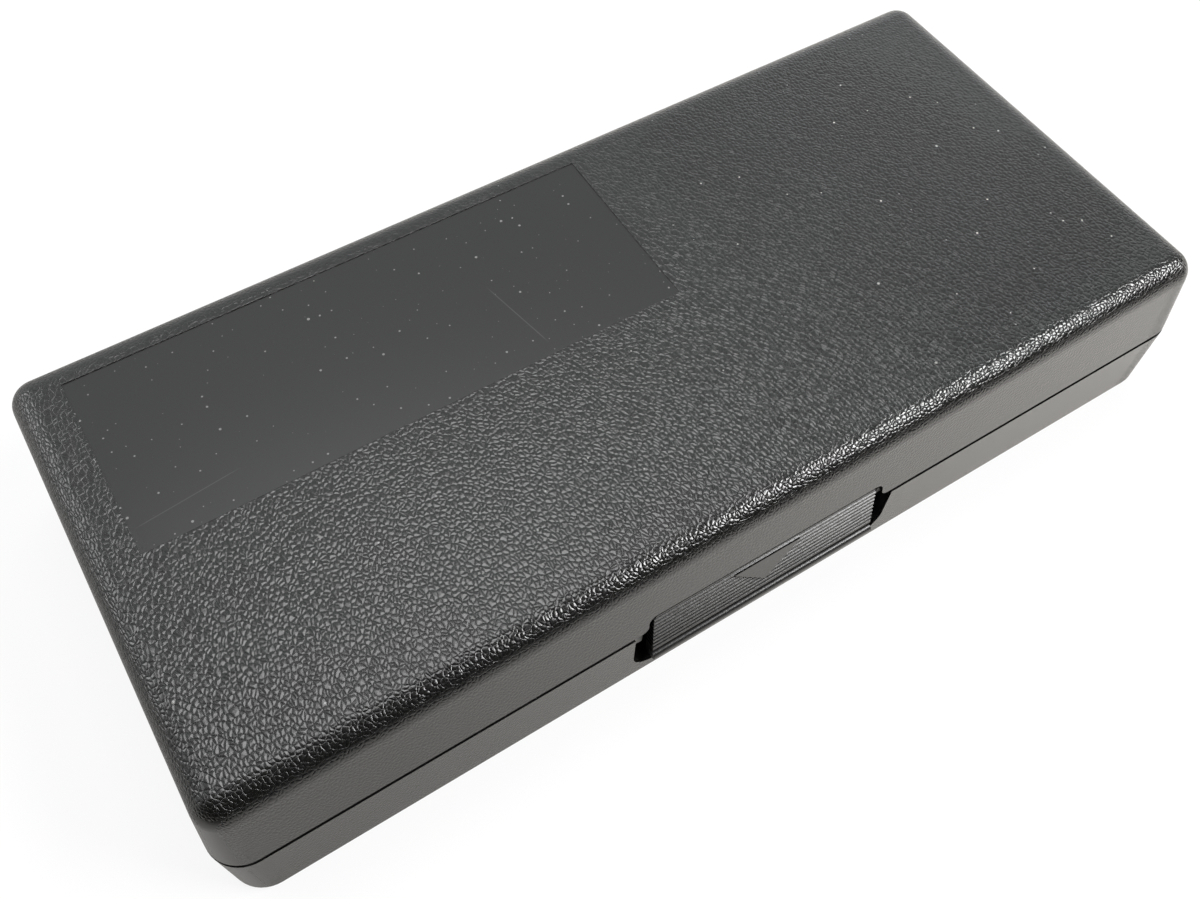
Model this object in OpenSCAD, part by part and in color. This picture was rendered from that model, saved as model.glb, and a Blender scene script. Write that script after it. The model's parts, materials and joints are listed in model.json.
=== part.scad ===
// Flat hinged case for a small outside micrometer.
// Length runs along X, the hinge is on the +Y side and the latch on the -Y side.
// The origin is the centre of the underside, and Z points up.

/* [Case] */
// Length of the case at the joint between base and lid
case_w = 172; // [166:1:190]
// Depth of the case at the joint, from latch side to hinge side
case_d = 78; // [76:1:90]
// Height of the base from the bench to its rim
base_h = 14.7; // [14:0.1:18]
// Height of the lid from its rim to its top
lid_h = 15.6; // [14:0.1:18]
// Thickness of the moulded walls
wall = 2; // [1.8:0.1:2.2]
// Slope of the lid's side walls in degrees
lid_draft = 7; // [5:0.5:8]
// Slope of the base's side walls in degrees
base_draft = 0.5; // [0.5:0.5:2]
// Rounding of the lid's top edge
lid_edge_r = 3.9; // [3:0.1:4.5]
// Rounding of the base's bottom edge
base_edge_r = 1.9; // [1.5:0.1:2.5]
// Height of the dark groove that runs round the case under the lid's edge
groove_h = 0.7; // [0.4:0.1:0.9]

/* [Label panel] */
// Length of the smooth panel on the lid
label_w = 86; // [40:1:100]
// Depth of the smooth panel on the lid
label_d = 31.8; // [20:0.2:34]
// Panel centre from the middle of the lid, along X
label_x = -33.7; // [-34:0.1:34]
// Panel centre from the middle of the lid, along Y
label_y = 16.5; // [-16:0.1:16.5]
// How far the panel is sunk below the grained surface
label_sink = 0.15; // [0.1:0.05:0.3]

/* [Latch] */
// Width of the latch tab at its lower edge
latch_w = 41.2; // [36:0.2:44]
// Height of the tab from its lower lip to its top edge
latch_h = 12.3; // [12:0.1:12.5]
// Distance from the joint up to the tab's top edge
latch_rise = 3.55; // [3.4:0.05:3.6]
// Distance between the grip ribs
rib_pitch = 0.98; // [0.92:0.01:1]
// Depth of the gaps between the grip ribs
rib_depth = 0.5; // [0.3:0.05:0.6]
// Width of the raised arrow at its top
arrow_w = 11.9; // [8:0.1:14]
// Height of the raised arrow
arrow_h = 5.9; // [4:0.1:6]
// Arrow centre from the middle of the latch
arrow_x = -0.4; // [-2:0.1:2]

/* [Hinge] */
// Distance of each hinge from the middle of the case
hinge_x = 52; // [35:1:60]
// Outer radius of the hinge knuckles
knuckle_r = 2.4; // [2.2:0.1:2.6]
// Radius of the steel hinge pins
hinge_pin_r = 1; // [0.8:0.1:1.2]

/* [Foam insert] */
// Thickness of the plain foam under the insert
floor_foam = 3; // [2:0.5:4]
// Distance from the top of the insert down from the base's rim
insert_drop = 0.5; // [0.5:0.1:2]
// Thickness of the foam pad in the lid
lid_foam = 6; // [4:0.5:7]
// Y position of the micrometer's spindle axis
spindle_y = 17; // [15:0.5:18]
// Radius of the recess for the micrometer's frame
frame_r = 29; // [25:0.5:30]
// Width of the recess for the thimble
thimble_w = 20; // [18:0.5:22]
// Length of the recess for the spanner
spanner_l = 66; // [50:1:70]

/* [Hidden] */
$fn = 48;

moulding_colour = "#2d2c2b";
latch_colour = "#242424";
steel_colour = "silver";
foam_colour = "#4a4d50";

over = 1;
half_w = case_w / 2;
half_d = case_d / 2;
rim_gap = 0.1;
lid_z = base_h + rim_gap;
ceiling_z = lid_z + lid_h - wall;

// Sloped lengths are kept to whole steps, so that the straight walls and the corners meet exactly.
function stepped(length, step = 0.0001) = round(length / step) * step;

// The plan corner is just round enough for the lid's edge to end in a ball at the top.
corner_r = stepped((lid_h - lid_edge_r) * tan(lid_draft) + lid_edge_r / cos(lid_draft) + 0.05, 0.1);
run_x = half_w - corner_r;
run_y = half_d - corner_r;
inner_edge_r = 0.5;
groove_depth = 0.5;

// Tongue on the base's rim and the step in the lid's rim that goes over it.
tongue_outer = 1.15;
tongue_inner = wall - 0.15;
tongue_h = 1.2;
step_inset = 1;
step_h = 1.4;

// Window in the lid's front wall and pocket in the base's front wall.
window_half = latch_w / 2 + 0.6;
window_rise = latch_rise + 0.35;
window_r = 1.6;
flare_r = 1.2;
pocket_half = latch_w / 2 + 2.9;
pocket_wall = 1.7;
pocket_depth = 4.4;
pocket_back = -half_d + pocket_depth;
pocket_floor = base_h - 11.1;
pocket_r = 4.4;

// The latch turns on a pin between two ears of the lid.
pivot_y = -half_d + 2.7;
pivot_z = lid_z - 0.7;
latch_pin_r = 0.8;
ear_r = 1.3;
ear_t = 1.7;
ear_in = latch_w / 2 + 1;
ear_rise = 4.5;
ear_root = 0.7;
ear_root_z = lid_z + groove_h + flare_r + 0.2;
// The left ear also has a cheek, which comes further down in front of the pocket's end.
cheek_front = -half_d + 1;
cheek_r = 2.4;
cheek_z = lid_z - 3.8;
cheek_top = lid_z - 1.2;
hub_r = 1.5;
hub_half = latch_w / 2 - 0.5;
hub_len = 8;
pin_play = 0.06;
tab_t = 2.1;
tab_taper = 0.5;
tab_ease = 0.5;
tab_corner_r = 1.5;
tab_bottom = latch_rise - latch_h;
rib_sink = 0.25;
rib_gap_half = 0.34;
first_rib_gap = latch_rise - 1.12;
rib_gap_count = 9;
ribs_end = first_rib_gap - (rib_gap_count - 0.1) * rib_pitch;
arrow_top = first_rib_gap - rib_gap_half;
lip_r = 0.8;
lip_proud = 0.25;
slit_depth = 1.2;

// The catch bar is on the pocket's back wall, and the latch's hook passes under it.
catch_z = base_h - 6.3;
catch_y = pocket_back - 1;
catch_half = 14;
hook_play = 0.15;
hook_top = catch_z - 0.2;
hook_half = 13;
hook_tip_h = 0.5;
hook_root_h = 1.5;
// Two ribs on the pocket's back wall stop the closed tab.
stop_half = catch_half + 2;
stop_t = 1.2;
stop_y = -half_d + 1.6;
stop_z = base_h - 7.2;
stop_h = 2.4;

// The hinge axis lies behind the rear wall, level with the joint.
hinge_y = half_d + knuckle_r + 0.5;
hinge_z = base_h + rim_gap / 2;
knuckle_side = 7;
knuckle_mid = 9;
knuckle_play = 0.3;
hinge_len = 2 * knuckle_side + knuckle_mid + 2 * knuckle_play;
arm_gap = 0.3;
arm_reach = 6.5;

foam_inset = wall + 0.6;
notch_play = 0.4;
insert_z = wall + floor_foam;
insert_top = base_h - insert_drop;
lid_foam_play = 0.25;
pad_r = 3;

frame_x = -43;
frame_top = 9;
sleeve_w = 14;
sleeve_end = 8;
thimble_end = 50;
ratchet_w = 12;
ratchet_end = 66;
scoop_x = 29;
scoop_r = 13.5;
spanner_x = 28;
spanner_y = -16;
spanner_w = 13;
spanner_scoop_r = 9;

// Distance of a sloped wall from the middle at height z, moved inwards by inset.
function wall_at(reach, draft, inset, z) = reach - stepped(inset / cos(draft) + z * tan(draft));

// Half of an upright section with a sloped wall and a round top edge.
module half_section(reach, h, draft, edge_r, inset = 0, low = 0) {
    r = max(edge_r - inset, inner_edge_r);
    top = h - inset;
    arc_z = top - r;
    arc_x = wall_at(reach, draft, inset, arc_z) - stepped(r / cos(draft));
    polygon([
        [0, low],
        [wall_at(reach, draft, inset, low), low],
        [arc_x + stepped(r * cos(draft)), arc_z + stepped(r * sin(draft))],
        [max(arc_x, 0), top],
        [0, top]
    ]);
    translate([arc_x, arc_z])
        circle(r);
}

module full_section(reach, h, draft, edge_r, inset = 0, low = 0) {
    half_section(reach, h, draft, edge_r, inset, low);
    mirror([1, 0])
        half_section(reach, h, draft, edge_r, inset, low);
}

// The same section kept on one side of its axis, for turning into a round corner.
module corner_section(h, draft, edge_r, inset, low) {
    intersection() {
        half_section(corner_r, h, draft, edge_r, inset, low);
        translate([0, low])
            square([2 * corner_r, h - low]);
    }
}

// Closed form of one half of the case, rim on Z = 0 and its far face up.
module case_form(h, draft, edge_r, inset = 0, low = 0) {
    rotate([90, 0, 90])
        linear_extrude(2 * run_x, center = true)
            full_section(half_d, h, draft, edge_r, inset, low);
    rotate([90, 0, 0])
        linear_extrude(2 * run_y, center = true)
            full_section(half_w, h, draft, edge_r, inset, low);
    for (corner = [[1, 1, 0], [-1, 1, 90], [-1, -1, 180], [1, -1, 270]])
        translate([corner[0] * run_x, corner[1] * run_y, 0])
            rotate([0, 0, corner[2]])
                rotate_extrude(angle = 90)
                    corner_section(h, draft, edge_r, inset, low);
}

// Rounded rectangle of the case's plan, moved inwards by inset.
module plan(inset) {
    r = corner_r - inset;
    square([2 * run_x, 2 * (run_y + r)], center = true);
    square([2 * (run_x + r), 2 * run_y], center = true);
    for (sx = [-1, 1], sy = [-1, 1])
        translate([sx * run_x, sy * run_y])
            circle(r);
}

// Draws a shape given in Y and Z and runs it along X.
module along_x(length, from = 0) {
    translate([from, 0, 0])
        rotate([90, 0, 90])
            linear_extrude(length)
                children();
}

// Draws a shape given in X and Z and runs it along Y.
module along_y(length, from = 0) {
    translate([0, from + length, 0])
        rotate([90, 0, 0])
            linear_extrude(length)
                children();
}

module rim_tongue() {
    translate([0, 0, base_h])
        linear_extrude(tongue_h)
            difference() {
                plan(tongue_outer);
                plan(tongue_inner);
                translate([-pocket_half - pocket_wall, -half_d])
                    square([2 * (pocket_half + pocket_wall), 2 * pocket_depth]);
            }
}

// Solid block that the latch pocket is sunk into.
module pocket_block() {
    translate([-pocket_half - pocket_wall, -half_d + wall / 2, wall / 2])
        cube([2 * (pocket_half + pocket_wall), pocket_depth + pocket_wall - wall / 2, base_h - wall / 2]);
}

module pocket_cut() {
    along_y(pocket_depth + over, -half_d - over) {
        translate([-pocket_half, pocket_floor + pocket_r])
            square([2 * pocket_half, 2 * base_h]);
        translate([-pocket_half + pocket_r, pocket_floor])
            square([2 * (pocket_half - pocket_r), 2 * pocket_r]);
        for (side = [-1, 1])
            translate([side * (pocket_half - pocket_r), pocket_floor + pocket_r])
                circle(pocket_r);
    }
}

// Bar with a sloped top, so that the closing hook can ride over it.
module catch_bar() {
    nose = 0.6;
    slope = 0.9;
    along_x(2 * catch_half, -catch_half)
        polygon([
            [pocket_back + over, catch_z],
            [catch_y, catch_z],
            [catch_y, catch_z + nose],
            [pocket_back, catch_z + nose + slope],
            [pocket_back + over, catch_z + nose + slope]
        ]);
}

module stop_ribs() {
    for (side = [-1, 1])
        translate([side * stop_half - stop_t / 2, stop_y, stop_z])
            cube([stop_t, pocket_back + over - stop_y, stop_h]);
}

// Knuckle and its arm, in Y and Z; side is -1 for the base and 1 for the lid.
// The arm is rooted in the wall at near_y beside the joint and at far_y at its other end.
module knuckle_shape(side, near_y, far_y) {
    translate([hinge_y, hinge_z])
        circle(knuckle_r);
    polygon([
        [hinge_y, hinge_z + side * arm_gap],
        [hinge_y, hinge_z + side * knuckle_r],
        [far_y, hinge_z + side * arm_reach],
        [near_y, hinge_z + side * arm_gap]
    ]);
}

module base_knuckles() {
    for (side = [-1, 1], offset = [-hinge_len / 2, hinge_len / 2 - knuckle_side])
        along_x(knuckle_side, side * hinge_x + offset)
            knuckle_shape(-1, half_d - wall / 2, half_d - wall / 2);
}

module lid_knuckles() {
    for (side = [-1, 1])
        along_x(knuckle_mid, side * hinge_x - knuckle_mid / 2)
            knuckle_shape(1, half_d - step_inset / 2, half_d - 0.8 * wall);
}

module hinge_bores(r) {
    for (side = [-1, 1])
        translate([side * hinge_x, hinge_y, hinge_z])
            rotate([0, 90, 0])
                cylinder(r = r, h = hinge_len + 2 * over, center = true);
}

module base_shell() {
    color(moulding_colour)
        difference() {
            union() {
                difference() {
                    translate([0, 0, base_h])
                        mirror([0, 0, 1])
                            case_form(base_h, base_draft, base_edge_r);
                    translate([0, 0, base_h])
                        mirror([0, 0, 1])
                            case_form(base_h, base_draft, base_edge_r, inset = wall, low = -over);
                }
                rim_tongue();
                pocket_block();
                base_knuckles();
            }
            difference() {
                pocket_cut();
                catch_bar();
                stop_ribs();
            }
            hinge_bores(hinge_pin_r);
        }
}

// Opening for the latch tab, in X and Z above the lid's rim.
module window_shape() {
    translate([-window_half, -over])
        square([2 * window_half, window_rise - window_r + over]);
    translate([-window_half + window_r, -over])
        square([2 * (window_half - window_r), window_rise + over]);
    for (side = [-1, 1])
        translate([side * (window_half - window_r), window_rise - window_r])
            circle(window_r);
    difference() {
        translate([-window_half - flare_r, -over])
            square([2 * (window_half + flare_r), groove_h + flare_r + over]);
        for (side = [-1, 1])
            translate([side * (window_half + flare_r), groove_h + flare_r])
                circle(flare_r);
    }
}

// Groove under the lid's edge, cut into the outside of its rim.
module rim_groove() {
    translate([0, 0, lid_z - over])
        linear_extrude(groove_h + over)
            difference() {
                plan(-over);
                plan(groove_depth);
            }
}

// Ear that hangs from the lid's wall beside the latch and holds its pin.
module latch_ear(from) {
    root = -half_d + ear_root;
    along_x(ear_t, from) {
        translate([pivot_y, pivot_z])
            circle(ear_r);
        translate([pivot_y - ear_r, pivot_z])
            square([2 * ear_r, ear_root_z - pivot_z]);
        translate([root, ear_root_z])
            square([pivot_y + ear_r - root, lid_z + ear_rise - ear_root_z]);
    }
}

module latch_ears() {
    latch_ear(ear_in);
    latch_ear(-ear_in - ear_t);
    along_x(ear_t, -ear_in - ear_t)
        intersection() {
            translate([cheek_front, cheek_z - cheek_r])
                square([pivot_y + ear_r - cheek_front, cheek_top - cheek_z + cheek_r]);
            union() {
                translate([cheek_front + cheek_r, cheek_z])
                    circle(cheek_r);
                translate([cheek_front, cheek_z])
                    square([2 * cheek_r, cheek_top - cheek_z]);
            }
        }
}

module label_panel() {
    translate([label_x - label_w / 2, label_y - label_d / 2, lid_z + lid_h - label_sink])
        cube([label_w, label_d, over]);
}

module latch_pin_bore(r) {
    translate([0, pivot_y, pivot_z])
        rotate([0, 90, 0])
            cylinder(r = r, h = 2 * (ear_in + ear_t + over), center = true);
}

module lid_shell() {
    color(moulding_colour)
        difference() {
            union() {
                difference() {
                    translate([0, 0, lid_z])
                        case_form(lid_h, lid_draft, lid_edge_r);
                    translate([0, 0, lid_z])
                        case_form(lid_h, lid_draft, lid_edge_r, inset = wall, low = -over);
                    translate([0, 0, lid_z - over])
                        linear_extrude(step_h + over)
                            plan(step_inset);
                    along_y(2 * wall, -half_d - wall / 2)
                        translate([0, lid_z])
                            window_shape();
                    rim_groove();
                    label_panel();
                }
                latch_ears();
                lid_knuckles();
            }
            hinge_bores(hinge_pin_r + pin_play);
            latch_pin_bore(latch_pin_r);
        }
}

// Upright section of the tab: grip ribs, the slit above the lip, and the lip.
// The first number is the depth behind the lid's face, the second the height above the joint.
module tab_section() {
    polygon(concat(
        [
            [tab_t, tab_bottom + lip_r],
            [tab_t, latch_rise],
            [rib_sink + tab_ease, latch_rise],
            [rib_sink, latch_rise - tab_ease]
        ],
        [
            for (i = [0 : rib_gap_count - 1], step = [-1, 0, 1])
                [
                    rib_sink + (step == 0 ? rib_depth : 0),
                    first_rib_gap - i * rib_pitch - step * rib_gap_half
                ]
        ],
        [
            [rib_sink, ribs_end],
            [slit_depth, ribs_end],
            [slit_depth, tab_bottom + lip_r]
        ]
    ));
    translate([lip_r - lip_proud, tab_bottom + lip_r])
        circle(lip_r);
    translate([lip_r - lip_proud, tab_bottom])
        square([tab_t - lip_r + lip_proud, 2 * lip_r]);
}

// Outline of the tab seen from the front, a little wider at its lower edge.
module tab_outline() {
    translate([0, tab_bottom])
        full_section(latch_w / 2, latch_h, atan(tab_taper / latch_h), tab_corner_r);
}

module arrow() {
    polygon([
        [arrow_x - arrow_w / 2, arrow_top],
        [arrow_x + arrow_w / 2, arrow_top],
        [arrow_x, arrow_top - arrow_h]
    ]);
}

// Barbed hook behind the lower lip.
module hook() {
    root_y = -half_d + wall / 4;
    tip_y = catch_y - hook_play;
    along_x(2 * hook_half, -hook_half)
        polygon([
            [root_y, hook_top],
            [tip_y, hook_top],
            [tip_y, hook_top - hook_tip_h],
            [tip_y - hook_root_h, hook_top - hook_root_h],
            [root_y, hook_top - hook_root_h]
        ]);
}

module latch_hubs() {
    for (from = [-hub_half, -hub_len / 2, hub_half - hub_len])
        along_x(hub_len, from) {
            translate([pivot_y, pivot_z])
                circle(hub_r);
            translate([pivot_y - hub_r, pivot_z - hub_r])
                square([hub_r, 2 * hub_r]);
        }
}

module latch() {
    color(latch_colour)
        difference() {
            union() {
                translate([0, -half_d, lid_z])
                    rotate([-lid_draft, 0, 0]) {
                        intersection() {
                            along_x(2 * latch_w, -latch_w)
                                tab_section();
                            along_y(2 * tab_t, -tab_t)
                                tab_outline();
                        }
                        along_y(tab_t)
                            arrow();
                    }
                hook();
                latch_hubs();
            }
            latch_pin_bore(latch_pin_r + pin_play);
        }
}

module latch_pin() {
    color(steel_colour)
        translate([0, pivot_y, pivot_z])
            rotate([0, 90, 0])
                cylinder(r = latch_pin_r, h = 2 * (ear_in + ear_t), center = true);
}

module hinge_pin(side) {
    color(steel_colour)
        translate([side * hinge_x, hinge_y, hinge_z])
            rotate([0, 90, 0])
                cylinder(r = hinge_pin_r, h = hinge_len, center = true);
}

// Plan of the foam in the base, with a notch that clears the latch pocket.
module foam_plan() {
    notch_half = pocket_half + pocket_wall + notch_play;
    difference() {
        plan(foam_inset);
        translate([-notch_half, -half_d])
            square([2 * notch_half, pocket_depth + pocket_wall + notch_play]);
    }
}

// Recess for a micrometer lying on its side: frame, sleeve, thimble and ratchet.
module micrometer_plan() {
    intersection() {
        translate([frame_x, spindle_y - frame_top])
            circle(frame_r);
        translate([frame_x - frame_r, spindle_y + frame_top - 2 * frame_r])
            square([2 * frame_r, 2 * frame_r]);
    }
    translate([frame_x, spindle_y - sleeve_w / 2])
        square([sleeve_end - frame_x, sleeve_w]);
    translate([sleeve_end - over, spindle_y - thimble_w / 2])
        square([thimble_end - sleeve_end + over, thimble_w]);
    translate([thimble_end - over, spindle_y - ratchet_w / 2])
        square([ratchet_end - thimble_end + over, ratchet_w]);
    translate([scoop_x, spindle_y])
        circle(scoop_r);
}

module spanner_plan() {
    straight = spanner_l - spanner_w;
    translate([spanner_x - straight / 2, spanner_y - spanner_w / 2])
        square([straight, spanner_w]);
    for (side = [-1, 1])
        translate([spanner_x + side * straight / 2, spanner_y])
            circle(spanner_w / 2);
    translate([spanner_x, spanner_y])
        circle(spanner_scoop_r);
}

module base_foam_floor() {
    color(foam_colour)
        translate([0, 0, wall])
            linear_extrude(floor_foam)
                foam_plan();
}

module base_foam_insert() {
    color(foam_colour)
        translate([0, 0, insert_z])
            linear_extrude(insert_top - insert_z)
                difference() {
                    foam_plan();
                    micrometer_plan();
                    spanner_plan();
                }
}

// The pad fills the flat of the lid's ceiling, inside its rounded edge.
module lid_foam_pad() {
    reach_x = run_x - lid_foam_play;
    reach_y = run_y - lid_foam_play;
    color(foam_colour)
        translate([0, 0, ceiling_z - lid_foam])
            linear_extrude(lid_foam) {
                square([2 * reach_x, 2 * (reach_y - pad_r)], center = true);
                square([2 * (reach_x - pad_r), 2 * reach_y], center = true);
                for (sx = [-1, 1], sy = [-1, 1])
                    translate([sx * (reach_x - pad_r), sy * (reach_y - pad_r)])
                        circle(pad_r);
            }
}

base_shell();
lid_shell();
latch();
latch_pin();
hinge_pin(-1);  // hinge_pin_left
hinge_pin(1);  // hinge_pin_right
base_foam_floor();
base_foam_insert();
lid_foam_pad();
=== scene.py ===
import json
import math

import bpy
import numpy as np
from mathutils import Matrix, Vector
from mathutils.geometry import delaunay_2d_cdt


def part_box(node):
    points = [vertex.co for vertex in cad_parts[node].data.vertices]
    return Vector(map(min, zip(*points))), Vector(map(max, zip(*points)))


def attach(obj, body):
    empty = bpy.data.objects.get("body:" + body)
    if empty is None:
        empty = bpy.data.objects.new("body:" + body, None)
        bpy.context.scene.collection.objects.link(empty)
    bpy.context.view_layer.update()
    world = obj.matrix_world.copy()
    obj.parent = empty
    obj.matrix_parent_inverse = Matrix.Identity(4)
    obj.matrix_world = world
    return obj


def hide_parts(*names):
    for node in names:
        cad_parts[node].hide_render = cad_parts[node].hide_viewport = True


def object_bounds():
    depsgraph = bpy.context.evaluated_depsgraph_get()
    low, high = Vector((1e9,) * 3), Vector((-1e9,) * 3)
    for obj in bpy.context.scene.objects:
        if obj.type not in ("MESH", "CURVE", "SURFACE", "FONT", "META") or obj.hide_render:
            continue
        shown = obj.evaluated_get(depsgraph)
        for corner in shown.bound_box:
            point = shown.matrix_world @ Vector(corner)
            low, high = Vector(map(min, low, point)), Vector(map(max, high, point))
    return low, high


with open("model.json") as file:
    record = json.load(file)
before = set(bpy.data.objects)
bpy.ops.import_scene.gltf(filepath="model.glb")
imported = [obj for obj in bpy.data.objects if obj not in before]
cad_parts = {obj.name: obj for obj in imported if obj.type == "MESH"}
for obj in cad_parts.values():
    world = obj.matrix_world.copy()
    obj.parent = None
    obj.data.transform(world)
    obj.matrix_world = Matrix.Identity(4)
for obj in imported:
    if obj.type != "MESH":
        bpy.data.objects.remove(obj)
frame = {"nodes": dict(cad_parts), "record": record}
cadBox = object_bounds()
mm = 0.001
print("frame loaded:", len(frame["nodes"]), "nodes")


# Small helpers for node materials

def newMaterial(name):
    material = bpy.data.materials.new(name)
    material.use_nodes = True
    return material, material.node_tree


def addNode(tree, kind, inputs=None, **options):
    # A node with its options and its unlinked inputs; an input given as a socket is linked.
    node = tree.nodes.new(kind)
    for option, value in options.items():
        setattr(node, option, value)
    for key, value in (inputs or {}).items():
        if isinstance(value, bpy.types.NodeSocket):
            tree.links.new(value, node.inputs[key])
        else:
            node.inputs[key].default_value = value
    return node


def maths(tree, operation, first, second=0.0, third=0.0):
    return addNode(tree, "ShaderNodeMath", {0: first, 1: second, 2: third}, operation=operation).outputs[0]


def product(tree, *values):
    result = values[0]
    for value in values[1:]:
        result = maths(tree, "MULTIPLY", result, value)
    return result


def largest(tree, *values):
    result = values[0]
    for value in values[1:]:
        result = maths(tree, "MAXIMUM", result, value)
    return result


def ramp(tree, value, low, high, toLow=0.0, toHigh=1.0):
    # Smooth step from toLow at low to toHigh at high, for low below high.
    node = addNode(tree, "ShaderNodeMapRange",
                   {"Value": value, "From Min": low, "From Max": high, "To Min": toLow, "To Max": toHigh},
                   interpolation_type="SMOOTHSTEP")
    return node.outputs["Result"]


def blendValues(tree, factor, first, second):
    node = addNode(tree, "ShaderNodeMix", {"Factor": factor, 2: first, 3: second}, data_type="FLOAT")
    return node.outputs[0]


def blendColours(tree, factor, first, second):
    node = addNode(tree, "ShaderNodeMix", {"Factor": factor, 6: first, 7: second}, data_type="RGBA")
    return node.outputs[2]


def objectPlace(tree):
    # Object coordinates in metres.
    return tree.nodes.new("ShaderNodeTexCoord").outputs["Object"]


def parted(tree, place):
    split = addNode(tree, "ShaderNodeSeparateXYZ", {0: place})
    return split.outputs["X"], split.outputs["Y"], split.outputs["Z"]


def joined(tree, x, y, z=0.0):
    return addNode(tree, "ShaderNodeCombineXYZ", {0: x, 1: y, 2: z}).outputs[0]


def scaled(tree, vector, factor):
    node = addNode(tree, "ShaderNodeVectorMath", {0: vector, "Scale": factor}, operation="SCALE")
    return node.outputs["Vector"]


def plus(tree, first, second):
    return addNode(tree, "ShaderNodeVectorMath", {0: first, 1: second}, operation="ADD").outputs["Vector"]


def noise(tree, place, scale, detail=2.0, flat=False):
    kind = "2D" if flat else "3D"
    return addNode(tree, "ShaderNodeTexNoise", {"Vector": place, "Scale": scale, "Detail": detail},
                   noise_dimensions=kind)


def within(tree, value, low, high, soft):
    # One between low and high and nought outside, with soft edges.
    rise = ramp(tree, value, low - soft, low + soft)
    fall = ramp(tree, value, high - soft, high + soft, 1.0, 0.0)
    return product(tree, rise, fall)


# Grained moulding of the two shells

grain = {
    "cell": (0.64 * mm, 0.88 * mm),
    "bend": 0.45,
    "bendScale": 0.5,
    "dome": 0.45,
    "steep": 0.6,
    "height": 0.050 * mm,
    "wallHeight": 0.034 * mm,
    "wallFinish": (24 * mm, 27 * mm),
    "fineScale": 2600.0,
    "fineShare": 0.22,
    "level": cadBox[1][2],
    "turnX": (78 * mm, 84 * mm),
    "turnY": (30 * mm, 37 * mm),
}
label = {
    "x": (-76.7 * mm, 9.3 * mm),
    "y": (0.6 * mm, 32.4 * mm),
    "above": 29 * mm,
    "soft": 0.12 * mm,
}
outside = {
    "reachX": 85.5 * mm,
    "reachY": 38.5 * mm,
    "draft": math.radians(7),
    "joint": 14.8 * mm,
    "bottom": 1.0 * mm,
    "top": 28.9 * mm,
}
plastic = {
    "colour": (0.0060, 0.0058, 0.0055, 1.0),
    # painted shade for the creases between the grain's pebbles
    "valleyShade": (0.0040, 0.0038, 0.0035, 1.0),
    "dust": (0.16, 0.16, 0.155, 1.0),
    "roughness": 0.26,
    "wallRoughness": 0.27,
    "labelRoughness": 0.32,
    "specular": 0.6,
}
specks = {
    "cell": 2.3 * mm,
    "radius": 0.11,
    "share": 0.55,
    "elsewhere": 0.08,
}
scratches = {
    "fade": 0.1,
    "lines": [
        {"start": (-75.2 * mm, 4.8 * mm), "end": (-61.1 * mm, 6.2 * mm),
         "width": 0.10 * mm, "strength": 0.20},
        {"start": (-15.4 * mm, 15.9 * mm), "end": (-12.9 * mm, 3.6 * mm),
         "width": 0.12 * mm, "strength": 0.25},
    ],
}


def unrolled(tree, x, y, z):
    # Places on the lid's top keep their x and y; on a wall the way down from the top is added outwards.
    down = maths(tree, "SUBTRACT", grain["level"], z)
    along = []
    for value, (low, high) in ((x, grain["turnX"]), (y, grain["turnY"])):
        right = ramp(tree, value, low, high)
        left = ramp(tree, value, -high, -low, 1.0, 0.0)
        side = maths(tree, "SUBTRACT", right, left)
        along.append(maths(tree, "MULTIPLY_ADD", down, side, value))
    return along


def leatherHeight(tree, along, across):
    # Height from 0 to 1: bent round-topped cells with steep sides down to the borders between them.
    spot = joined(tree, maths(tree, "DIVIDE", along, grain["cell"][0]),
                  maths(tree, "DIVIDE", across, grain["cell"][1]))
    bend = noise(tree, spot, grain["bendScale"], 1.0, flat=True)
    shift = scaled(tree, plus(tree, bend.outputs["Color"], (-0.5, -0.5, -0.5)), 2 * grain["bend"])
    cells = addNode(tree, "ShaderNodeTexVoronoi", {"Vector": plus(tree, spot, shift), "Scale": 1.0},
                    feature="DISTANCE_TO_EDGE", voronoi_dimensions="2D")
    inner = maths(tree, "DIVIDE", cells.outputs["Distance"], grain["dome"])
    return maths(tree, "POWER", maths(tree, "MINIMUM", inner, 1.0), grain["steep"])


def insideMask(tree, x, y, z):
    # One on the faces inside the shells and nought on the grained outside. The walls lean in above the joint.
    above = maths(tree, "MAXIMUM", maths(tree, "SUBTRACT", z, outside["joint"]), 0.0)
    lean = maths(tree, "MULTIPLY", above, math.tan(outside["draft"]))
    mask = product(tree,
                   maths(tree, "LESS_THAN", z, outside["top"]),
                   maths(tree, "GREATER_THAN", z, outside["bottom"]))
    for value, reach in ((x, outside["reachX"]), (y, outside["reachY"])):
        away = maths(tree, "ADD", maths(tree, "ABSOLUTE", value), lean)
        mask = product(tree, mask, maths(tree, "LESS_THAN", away, reach))
    return mask


def speckMask(tree, along, across, onLabel):
    # Small round specks, one to a cell at most, of random size, with more of them on the label's panel.
    spot = scaled(tree, joined(tree, along, across), 1 / specks["cell"])
    cells = addNode(tree, "ShaderNodeTexVoronoi", {"Vector": spot, "Scale": 1.0}, voronoi_dimensions="2D")
    chance = addNode(tree, "ShaderNodeSeparateColor", {0: cells.outputs["Color"]})
    size = product(tree, chance.outputs[0], specks["radius"], chance.outputs[1])
    share = blendValues(tree, onLabel, specks["elsewhere"], specks["share"])
    chosen = maths(tree, "LESS_THAN", chance.outputs[2], share)
    dot = maths(tree, "LESS_THAN", cells.outputs["Distance"], size)
    return product(tree, dot, chosen)


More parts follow.
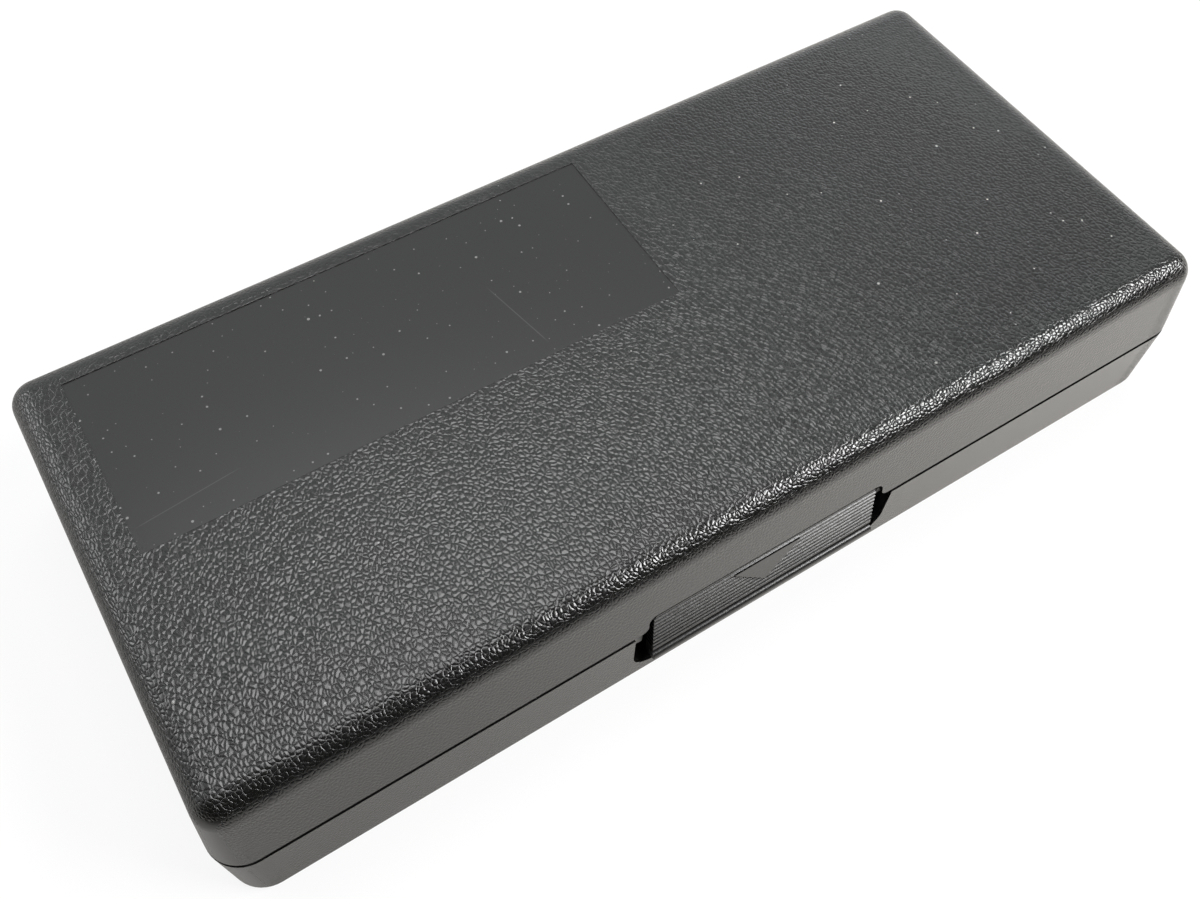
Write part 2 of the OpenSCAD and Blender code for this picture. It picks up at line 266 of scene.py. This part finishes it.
def scratchMask(tree, x, y, start, end, width, strength):
    # A straight thin line from start to end that fades out across its width and at both ends.
    length = math.dist(start, end)
    way = [(end[i] - start[i]) / length for i in range(2)]
    fromX = maths(tree, "SUBTRACT", x, start[0])
    fromY = maths(tree, "SUBTRACT", y, start[1])
    along = maths(tree, "ADD", product(tree, fromX, way[0]), product(tree, fromY, way[1]))
    away = maths(tree, "SUBTRACT", product(tree, fromX, way[1]), product(tree, fromY, way[0]))
    line = ramp(tree, maths(tree, "ABSOLUTE", away), 0.0, width, strength, 0.0)
    return product(tree, line, within(tree, along, 0.0, length, length * scratches["fade"]))


def makeMoulding():
    # Grain on the outside with painted shade in the creases between pebbles, smooth faces inside and on the
    # label's panel, and dust and scratches on the top.
    material, tree = newMaterial("grainedMoulding")
    shader = tree.nodes["Principled BSDF"]
    place = objectPlace(tree)
    x, y, z = parted(tree, place)
    along, across = unrolled(tree, x, y, z)
    upper = ramp(tree, z, *grain["wallFinish"])
    inside = insideMask(tree, x, y, z)
    onTop = maths(tree, "GREATER_THAN", z, label["above"])
    onLabel = product(tree, onTop, within(tree, x, *label["x"], label["soft"]),
                      within(tree, y, *label["y"], label["soft"]))

    pebbles = leatherHeight(tree, along, across)
    depth = blendValues(tree, upper, grain["wallHeight"], grain["height"])
    plain = largest(tree, inside, onLabel)
    outer = maths(tree, "SUBTRACT", 1.0, plain)
    fine = noise(tree, place, grain["fineScale"]).outputs["Fac"]
    rough = product(tree, fine, grain["fineShare"] * grain["wallHeight"])
    height = maths(tree, "ADD", product(tree, pebbles, depth, outer), rough)
    bump = addNode(tree, "ShaderNodeBump", {"Height": height, "Distance": 1.0, "Strength": 1.0})
    tree.links.new(bump.outputs["Normal"], shader.inputs["Normal"])

    smooth = largest(tree, pebbles, plain)
    # painted shade: the borders between pebbles are coloured darker, as the shade in the creases
    colour = blendColours(tree, smooth, plastic["valleyShade"], plastic["colour"])
    marks = product(tree, speckMask(tree, along, across, onLabel), onTop)
    for line in scratches["lines"]:
        marks = largest(tree, marks, product(tree, scratchMask(tree, x, y, **line), onLabel))
    tree.links.new(blendColours(tree, marks, colour, plastic["dust"]), shader.inputs["Base Color"])

    roughness = blendValues(tree, upper, plastic["wallRoughness"], plastic["roughness"])
    roughness = blendValues(tree, plain, roughness, plastic["labelRoughness"])
    tree.links.new(roughness, shader.inputs["Roughness"])
    shader.inputs["Specular IOR Level"].default_value = plastic["specular"]
    return material


# Satin plastic of the latch

satin = {
    "colour": (0.0075, 0.0073, 0.0070, 1.0),
    "roughness": 0.34,
    "specular": 0.6,
    "ripple": 0.60 * mm,
    "rippleHeight": 0.020 * mm,
}
ribs = {
    "first": 17.23 * mm,
    "pitch": 0.98 * mm,
    "count": 9,
    "half": 0.34 * mm,
    "soft": 0.10 * mm,
    "rowSoft": 0.02,
    "front": -37.5 * mm,
    "arrowMiddle": -0.4 * mm,
    "arrowTip": 10.99 * mm,
    "arrowHalf": 5.95 * mm,
    "arrowHeight": 5.9 * mm,
    # painted shade for the gaps between the ribs, and how much of it is mixed in
    "paintedShade": (0.0030, 0.0028, 0.0025, 1.0),
    "share": 0.90,
}


def gapShadeMask(tree, x, y, z):
    # Where shade is painted: one in the gaps between the grip ribs, whose rows are a pitch apart, and nought
    # on the arrow.
    row = maths(tree, "DIVIDE", maths(tree, "SUBTRACT", ribs["first"], z), ribs["pitch"])
    off = maths(tree, "ABSOLUTE", maths(tree, "SUBTRACT", row, maths(tree, "ROUND", row)))
    line = ramp(tree, product(tree, off, ribs["pitch"]), ribs["half"] - ribs["soft"], ribs["half"], 1.0, 0.0)
    aboveTip = maths(tree, "SUBTRACT", z, ribs["arrowTip"])
    reach = maths(tree, "MULTIPLY", aboveTip, ribs["arrowHalf"] / ribs["arrowHeight"])
    beside = maths(tree, "ABSOLUTE", maths(tree, "SUBTRACT", x, ribs["arrowMiddle"]))
    return product(tree, line, within(tree, row, -0.5, ribs["count"] - 0.5, ribs["rowSoft"]),
                   maths(tree, "GREATER_THAN", beside, reach), maths(tree, "LESS_THAN", y, ribs["front"]))


def makeSatin():
    # Ribs that aren't quite straight: small ripples break their glints into dashes, and painted shade, a dull
    # dark diffuse mixed in, darkens the gaps between them.
    material, tree = newMaterial("satinLatch")
    shader = tree.nodes["Principled BSDF"]
    place = objectPlace(tree)
    ripple = noise(tree, place, 1 / satin["ripple"], 1.0).outputs["Fac"]
    bump = addNode(tree, "ShaderNodeBump",
                   {"Height": ripple, "Distance": satin["rippleHeight"], "Strength": 1.0})
    tree.links.new(bump.outputs["Normal"], shader.inputs["Normal"])
    shader.inputs["Base Color"].default_value = satin["colour"]
    shader.inputs["Roughness"].default_value = satin["roughness"]
    shader.inputs["Specular IOR Level"].default_value = satin["specular"]
    # painted shade: a dark diffuse mixed into the gaps between the ribs, standing in for the shade there
    paintedShade = addNode(tree, "ShaderNodeBsdfDiffuse", {"Color": ribs["paintedShade"]})
    paintedShadeShare = maths(tree, "MULTIPLY", gapShadeMask(tree, *parted(tree, place)), ribs["share"])
    mixed = addNode(tree, "ShaderNodeMixShader", {0: paintedShadeShare, 1: shader.outputs[0], 2: paintedShade.outputs[0]})
    tree.links.new(mixed.outputs[0], tree.nodes["Material Output"].inputs["Surface"])
    return material


# Steel of the three pins

steel = {
    "colour": (0.55, 0.55, 0.54, 1.0),
    "roughness": 0.28,
    "drawnScale": 3000.0,
    "drawnShare": 0.12,
    "drawnStretch": 0.05,
}


def makeSteel():
    # Drawn wire: roughness varies in lines along the pin, as the noise is stretched along X.
    material, tree = newMaterial("pinSteel")
    shader = tree.nodes["Principled BSDF"]
    x, y, z = parted(tree, objectPlace(tree))
    stretched = joined(tree, maths(tree, "MULTIPLY", x, steel["drawnStretch"]), y, z)
    drawn = noise(tree, stretched, steel["drawnScale"]).outputs["Fac"]
    roughness = maths(tree, "MULTIPLY_ADD", drawn, steel["drawnShare"], steel["roughness"])
    tree.links.new(roughness, shader.inputs["Roughness"])
    shader.inputs["Base Color"].default_value = steel["colour"]
    shader.inputs["Metallic"].default_value = 1.0
    return material


# Open-celled foam

foamLook = {
    "colour": (0.050, 0.052, 0.055, 1.0),
    # painted shade inside the pores
    "poreShade": (0.020, 0.021, 0.022, 1.0),
    "poreSize": 0.42 * mm,
    "poreEdge": (0.15, 0.45),
    "poreDepth": 0.10 * mm,
    "poreStrength": 0.8,
    "roughness": 0.95,
}


def makeFoam():
    # Open cells: round pores sunk into a rough face, with painted shade darkening them.
    material, tree = newMaterial("charcoalFoam")
    shader = tree.nodes["Principled BSDF"]
    cells = addNode(tree, "ShaderNodeTexVoronoi",
                    {"Vector": objectPlace(tree), "Scale": 1 / foamLook["poreSize"]})
    skin = ramp(tree, cells.outputs["Distance"], *foamLook["poreEdge"])
    # painted shade: the pores are coloured darker, as the shade inside the holes
    colour = blendColours(tree, skin, foamLook["poreShade"], foamLook["colour"])
    tree.links.new(colour, shader.inputs["Base Color"])
    bump = addNode(tree, "ShaderNodeBump",
                   {"Height": skin, "Distance": foamLook["poreDepth"], "Strength": foamLook["poreStrength"]})
    tree.links.new(bump.outputs["Normal"], shader.inputs["Normal"])
    shader.inputs["Roughness"].default_value = foamLook["roughness"]
    return material


finishes = {
    "moulding": makeMoulding(),
    "latch_moulding": makeSatin(),
    "pin_steel": makeSteel(),
    "foam": makeFoam(),
}
for subpart in frame["record"]["subparts"]:
    frame["nodes"][subpart["node"]].material_slots[0].material = finishes[subpart["material_slot"]]
print("materials set:", len(finishes))


# Foam pieces, each cut to an outline given as a signed distance in millimetres, negative in the foam

def boxField(x, y, centre, half, radius):
    # Distance to a rectangle with rounded corners.
    overX = np.abs(x - centre[0]) - (half[0] - radius)
    overY = np.abs(y - centre[1]) - (half[1] - radius)
    corner = np.hypot(np.maximum(overX, 0), np.maximum(overY, 0))
    return corner + np.minimum(np.maximum(overX, overY), 0) - radius


def discField(x, y, centre, radius):
    return np.hypot(x - centre[0], y - centre[1]) - radius


def smoothMin(first, second, blend):
    # The smaller of two distances, rounded off where they are within the blend of each other.
    near = np.clip(0.5 + 0.5 * (second - first) / blend, 0, 1)
    return second + (first - second) * near - blend * near * (1 - near)


caseFoam = {
    "corner": 2.8,
    "notchHalf": 25.6,
    "notchBack": -32.5,
    "notchCorner": 0.5,
    "blend": 0.8,
}
recesses = {
    "frameCentre": (-43, 8),
    "frameRadius": 29,
    "frameTop": 26,
    "bars": [((-17.5, 17), (25.5, 7)), ((28.5, 17), (21.5, 10)), ((57.5, 17), (8.5, 6))],
    "barCorner": 0.4,
    "scoop": ((29, 17), 13.5),
    "spanner": ((28, -16), (33, 6.5), 6.45),
    "spannerScoop": ((28, -16), 9),
}
padFoam = {
    "corner": 3.0,
}


def planField(x, y, half):
    # The base's foam: a rounded rectangle less the notch behind the latch's pocket.
    whole = boxField(x, y, (0, 0), half, caseFoam["corner"])
    notchY = (caseFoam["notchBack"] - 2 * half[1]) / 2
    notchHalf = (caseFoam["notchHalf"], caseFoam["notchBack"] - notchY)
    notch = boxField(x, y, (0, notchY), notchHalf, caseFoam["notchCorner"])
    return -smoothMin(-whole, notch, caseFoam["blend"])


def recessField(x, y):
    # The recesses: a disc with its top cut off for the frame, bars for sleeve, thimble and ratchet, and
    # the spanner's bar with its scoop.
    disc = discField(x, y, recesses["frameCentre"], recesses["frameRadius"])
    field = np.maximum(disc, y - recesses["frameTop"])
    for centre, half in recesses["bars"]:
        bar = boxField(x, y, centre, half, recesses["barCorner"])
        field = smoothMin(field, bar, caseFoam["blend"])
    field = smoothMin(field, discField(x, y, *recesses["scoop"]), caseFoam["blend"])
    spanner = boxField(x, y, *recesses["spanner"])
    spanner = smoothMin(spanner, discField(x, y, *recesses["spannerScoop"]), caseFoam["blend"])
    return np.minimum(field, spanner)


def insertField(x, y, half):
    return -smoothMin(-planField(x, y, half), recessField(x, y), caseFoam["blend"] / 2)


def padField(x, y, half):
    return boxField(x, y, (0, 0), half, padFoam["corner"])


slabs = {
    "foamFloor": {"node": "base_foam_floor", "body": "base", "facesUp": True,
                  "field": planField, "pitch": 1.1},
    "foamInsert": {"node": "base_foam_insert", "body": "base", "facesUp": True,
                   "field": insertField, "pitch": 0.75},
    "lidPad": {"node": "lid_foam_pad", "body": "lid", "facesUp": False,
               "field": padField, "pitch": 1.0},
}
slabForm = {
    "fill": 0.85,
    "edgeDrop": 0.45,
    "edgeReach": 0.55,
    "wave": 0.10,
    "waveLength": 17.0,
    "waveBend": 2.0,
    "crossTurn": 1.7,
    "wallRows": 6,
    "wallWave": 0.12,
    "wallTurn": 3.0,
    "wallShift": 5.0,
}
planMesh = {
    "rimBand": 0.62,
    "rimPasses": 6,
    "slopeStep": 0.01,
    "leastSteep": 0.2,
    "leastSlope": 1e-6,
    "mergeWithin": 1e-3,
    "insideBy": 0.02,
}


def slopeOf(field, x, y, half):
    # Slope of a distance along X and along Y, from its values a small step to either side.
    step = planMesh["slopeStep"]
    slopeX = (field(x + step, y, half) - field(x - step, y, half)) / (2 * step)
    slopeY = (field(x, y + step, half) - field(x, y - step, half)) / (2 * step)
    return slopeX, slopeY


def slabPlan(field, half, pitch):
    # Points of a square grid inside the outline, with those near it moved onto it along the distance's
    # slope, joined by a Delaunay mesh from which the triangles outside the outline are left out.
    columns = np.arange(-half[0] - pitch, half[0] + 1.5 * pitch, pitch)
    rows = np.arange(-half[1] - pitch, half[1] + 1.5 * pitch, pitch)
    x, y = [grid.ravel() for grid in np.meshgrid(columns, rows)]
    level = field(x, y, half)
    band = planMesh["rimBand"] * pitch
    inner = level < -band
    rim = np.abs(level) <= band
    rimX, rimY = x[rim], y[rim]
    for _ in range(planMesh["rimPasses"]):
        here = field(rimX, rimY, half)
        slopeX, slopeY = slopeOf(field, rimX, rimY, half)
        steep = np.maximum(slopeX ** 2 + slopeY ** 2, planMesh["leastSteep"])
        rimX = rimX - here * slopeX / steep
        rimY = rimY - here * slopeY / steep
    points = np.column_stack([np.append(x[inner], rimX), np.append(y[inner], rimY)])
    result = delaunay_2d_cdt([Vector(point) for point in points], [], [], 0, planMesh["mergeWithin"])
    plan = np.array([point[:] for point in result[0]])
    faces = np.array(result[2])
    middle = plan[faces].mean(axis=1)
    return plan, faces[field(middle[:, 0], middle[:, 1], half) < -planMesh["insideBy"] * pitch]


def rimOf(faces):
    # The points on the mesh's border, and its border edges as pairs of places in that list.
    edges = np.concatenate([faces[:, [0, 1]], faces[:, [1, 2]], faces[:, [2, 0]]])
    pairs = {(a, b) for a, b in edges.tolist()}
    border = np.array([pair for pair in pairs if (pair[1], pair[0]) not in pairs])
    rimPoints, rimEdges = np.unique(border, return_inverse=True)
    return rimPoints, rimEdges.reshape(-1, 2)


def faceDrop(x, y, level):
    # How far the soft face lies below its highest plane: a set drop times e to the distance over a set
    # reach, which rounds the edge, and low waves, the sum of two sines of which the first is bent by a third.
    turn = 2 * math.pi / slabForm["waveLength"]
    bent = np.sin(turn * x + slabForm["waveBend"] * np.sin(turn * y))
    wave = (2 + bent + np.sin(slabForm["crossTurn"] * turn * y)) / 4
    return slabForm["edgeDrop"] * np.exp(level / slabForm["edgeReach"]) + slabForm["wave"] * wave


def wallSheets(field, half, rim, backZ):
    # Rows of points down the wall from the rim to the back, each moved a little inwards by a sine that runs
    # along the wall and starts elsewhere in every row.
    x, y, rimZ = rim.T
    slopeX, slopeY = slopeOf(field, x, y, half)
    size = np.maximum(np.hypot(slopeX, slopeY), planMesh["leastSlope"])
    turn = slabForm["wallTurn"] * 2 * math.pi / slabForm["waveLength"]
    sheets = []
    for row in range(1, slabForm["wallRows"]):
        down = row / slabForm["wallRows"]
        inward = slabForm["wallWave"] * (1 + np.sin(turn * (x + y) + slabForm["wallShift"] * row)) / 2
        sheets.append(np.column_stack([x - inward * slopeX / size, y - inward * slopeY / size,
                                       rimZ * (1 - down) + backZ * down]))
    return sheets


def makeSlab(name, node, body, facesUp, field, pitch):
    # A wavy face and a flat back over the same plan, joined by rows of wall faces.
    low, high = [np.array(corner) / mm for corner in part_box(node)]
    half = ((high[0] - low[0]) / 2, (high[1] - low[1]) / 2)
    plan, faces = slabPlan(field, half, pitch)
    plan = np.clip(plan, low[:2], high[:2])
    drop = faceDrop(*plan.T, np.minimum(field(*plan.T, half), 0))
    faceZ = high[2] - drop if facesUp else low[2] + drop
    backZ = low[2] if facesUp else high[2]
    face = np.column_stack([plan, faceZ])
    back = np.column_stack([plan, np.full(len(plan), backZ)])

    rimPoints, rimEdges = rimOf(faces)
    between = wallSheets(field, half, face[rimPoints], backZ)
    count, rimCount = len(plan), len(rimPoints)
    rowPoints = [rimPoints]
    for row in range(len(between)):
        rowPoints.append(2 * count + row * rimCount + np.arange(rimCount))
    rowPoints.append(count + rimPoints)
    a, b = rimEdges.T
    walls = np.concatenate([np.column_stack([lower[a], lower[b], upper[b], upper[a]])
                            for upper, lower in zip(rowPoints[:-1], rowPoints[1:])])
    under = faces[:, ::-1] + count
    if not facesUp:
        faces, under, walls = faces[:, ::-1], under[:, ::-1], walls[:, ::-1]

    mesh = bpy.data.meshes.new(name)
    points = np.concatenate([face, back, *between]) * mm
    mesh.from_pydata(points.tolist(), [], faces.tolist() + under.tolist() + walls.tolist())
    mesh.polygons.foreach_set("use_smooth", np.ones(len(mesh.polygons), bool))
    mesh.materials.append(finishes["foam"])
    slab = bpy.data.objects.new(name, mesh)
    bpy.context.scene.collection.objects.link(slab)
    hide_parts(node)
    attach(slab, body)
    print(name, "points", len(points), "faces", len(mesh.polygons))


for name, values in slabs.items():
    makeSlab(name, **values)


# Floor, world and lamps

studio = {
    "floorReach": 3.0,
    "floorWhite": (0.9, 0.9, 0.9, 1.0),
    "white": (1.0, 1.0, 1.0, 1.0),
    "shadowShare": 0.12,
    "glossyShadowShare": 0.30,
    "shadowReach": (0.20, 0.50),
    "leftGlow": 0.84,
    "rightGlow": 2.15,
    "glowReach": 0.10,
    "foot": (-0.056, -0.041),
    "footGlow": 0.66,
    "front": (-0.20, -0.055),
    "frontGlow": 0.05,
    "bounceTint": (1.0, 0.96, 0.90, 1.0),
    "sky": 0.64,
    "skyColour": (0.97, 1.0, 1.01, 1.0),
    "skyRise": (0.0, 0.35),
    "right": 0.80,
    "rightRise": (0.42, 0.68),
    "behind": 0.30,
    "behindRise": (0.50, 0.66),
}


def floorLevel(tree, x, y, glossy):
    # White, but for glossy rays a painted glow, brighter to the right, with painted shade at the case's foot
    # and dark far in front.
    lit = ramp(tree, x, -studio["glowReach"], studio["glowReach"], studio["leftGlow"], studio["rightGlow"])
    # painted shade: the glow seen in reflections drops near the case's foot
    foot = ramp(tree, y, *studio["foot"], 1.0, studio["footGlow"])
    front = ramp(tree, y, *studio["front"], studio["frontGlow"], 1.0)
    return blendValues(tree, glossy, 1.0, product(tree, lit, foot, front))


def floorShadow(tree, place, glossy):
    # The share of real paper, and with it of real shadow, near the case.
    away = addNode(tree, "ShaderNodeVectorMath", {0: place}, operation="LENGTH").outputs["Value"]
    share = blendValues(tree, glossy, studio["shadowShare"], studio["glossyShadowShare"])
    return product(tree, share, ramp(tree, away, *studio["shadowReach"], 1.0, 0.0))


def makeFloor():
    # Flat square under the case, which camera, glossy and transmission rays see as a glowing white paper.
    reach = studio["floorReach"]
    corners = np.array([(-1, -1, 0), (1, -1, 0), (1, 1, 0), (-1, 1, 0)]) * reach
    mesh = bpy.data.meshes.new("floor")
    mesh.from_pydata(corners.tolist(), [], [(0, 1, 2, 3)])
    floor = bpy.data.objects.new("floor", mesh)
    bpy.context.scene.collection.objects.link(floor)
    material, tree = newMaterial("paleFloor")
    tree.nodes.remove(tree.nodes["Principled BSDF"])
    place = objectPlace(tree)
    x, y = parted(tree, place)[:2]
    rays = tree.nodes.new("ShaderNodeLightPath").outputs
    glossy = rays["Is Glossy Ray"]
    paper = addNode(tree, "ShaderNodeBsdfDiffuse", {"Color": studio["floorWhite"]})
    tint = blendColours(tree, glossy, studio["white"], studio["bounceTint"])
    glow = addNode(tree, "ShaderNodeEmission", {"Color": tint, "Strength": floorLevel(tree, x, y, glossy)})
    seen = largest(tree, rays["Is Camera Ray"], glossy, rays["Is Transmission Ray"])
    share = product(tree, seen, maths(tree, "SUBTRACT", 1.0, floorShadow(tree, place, glossy)))
    mixed = addNode(tree, "ShaderNodeMixShader", {0: share, 1: paper.outputs[0], 2: glow.outputs[0]})
    tree.links.new(mixed.outputs[0], tree.nodes["Material Output"].inputs["Surface"])
    mesh.materials.append(material)


def makeWorld():
    # Bright above and behind the case, more so low down behind and at the right, and dark in front.
    world = bpy.data.worlds.new("room")
    world.use_nodes = True
    tree = world.node_tree
    bpy.context.scene.world = world
    background = tree.nodes["Background"]
    x, y = parted(tree, tree.nodes.new("ShaderNodeTexCoord").outputs["Generated"])[:2]
    back = ramp(tree, y, *studio["skyRise"])
    behind = ramp(tree, y, *studio["behindRise"], studio["sky"], studio["sky"] + studio["behind"])
    right = ramp(tree, x, *studio["rightRise"], 0.0, studio["right"])
    level = product(tree, back, maths(tree, "ADD", behind, right))
    rays = tree.nodes.new("ShaderNodeLightPath").outputs
    seen = largest(tree, rays["Is Camera Ray"], rays["Is Transmission Ray"])
    tree.links.new(blendColours(tree, seen, studio["skyColour"], studio["white"]), background.inputs["Color"])
    tree.links.new(blendValues(tree, seen, level, 1.0), background.inputs["Strength"])


lamps = {
    "overhead": {"place": (0.035, 0.135, 0.62), "size": (0.34, 0.20), "radiance": 8.0},
    "rightFront": {"place": (0.56, -0.42, 0.72), "size": (0.45, 0.24), "radiance": 34.0},
    "backLeft": {"place": (-0.50, 0.42, 0.45), "size": (0.30, 0.20), "radiance": 6.0},
}


def makeLamp(name, place, size, radiance):
    # A flat rectangle of even radiance: its power is pi times its area times the radiance.
    light = bpy.data.lights.new(name, "AREA")
    light.shape = "RECTANGLE"
    light.size, light.size_y = size
    light.energy = math.pi * size[0] * size[1] * radiance
    lamp = bpy.data.objects.new(name, light)
    bpy.context.scene.collection.objects.link(lamp)
    lamp.location = place
    lamp.rotation_mode = "QUATERNION"
    lamp.rotation_quaternion = (-Vector(place)).to_track_quat("-Z", "Y")
    lamp.visible_camera = False


makeFloor()
makeWorld()
for name, values in lamps.items():
    makeLamp(name, **values)
print("stage set:", len(lamps), "lamps")


# Camera at the photograph's angle

photoCamera = {
    "place": (-0.064303, -0.088395, 0.169971),
    "forward": (0.293167, 0.434484, -0.851632),
    "up": (0.443041, 0.727616, 0.523727),
    "lens": 34.9754,
    "sensor": 36.0,
    "clipStart": 0.01,
}


def makeCamera():
    # The camera looks along its own -Z, so its axes are right, up and backward.
    forward = Vector(photoCamera["forward"]).normalized()
    right = forward.cross(Vector(photoCamera["up"])).normalized()
    up = right.cross(forward)
    data = bpy.data.cameras.new("photoCamera")
    data.lens = photoCamera["lens"]
    data.sensor_width = photoCamera["sensor"]
    data.clip_start = photoCamera["clipStart"]
    camera = bpy.data.objects.new("photoCamera", data)
    bpy.context.scene.collection.objects.link(camera)
    axes = Matrix((right, up, -forward)).transposed().to_4x4()
    camera.matrix_world = Matrix.Translation(photoCamera["place"]) @ axes
    bpy.context.scene.camera = camera


makeCamera()
bpy.context.scene.view_settings.view_transform = "Standard"
print("camera set")
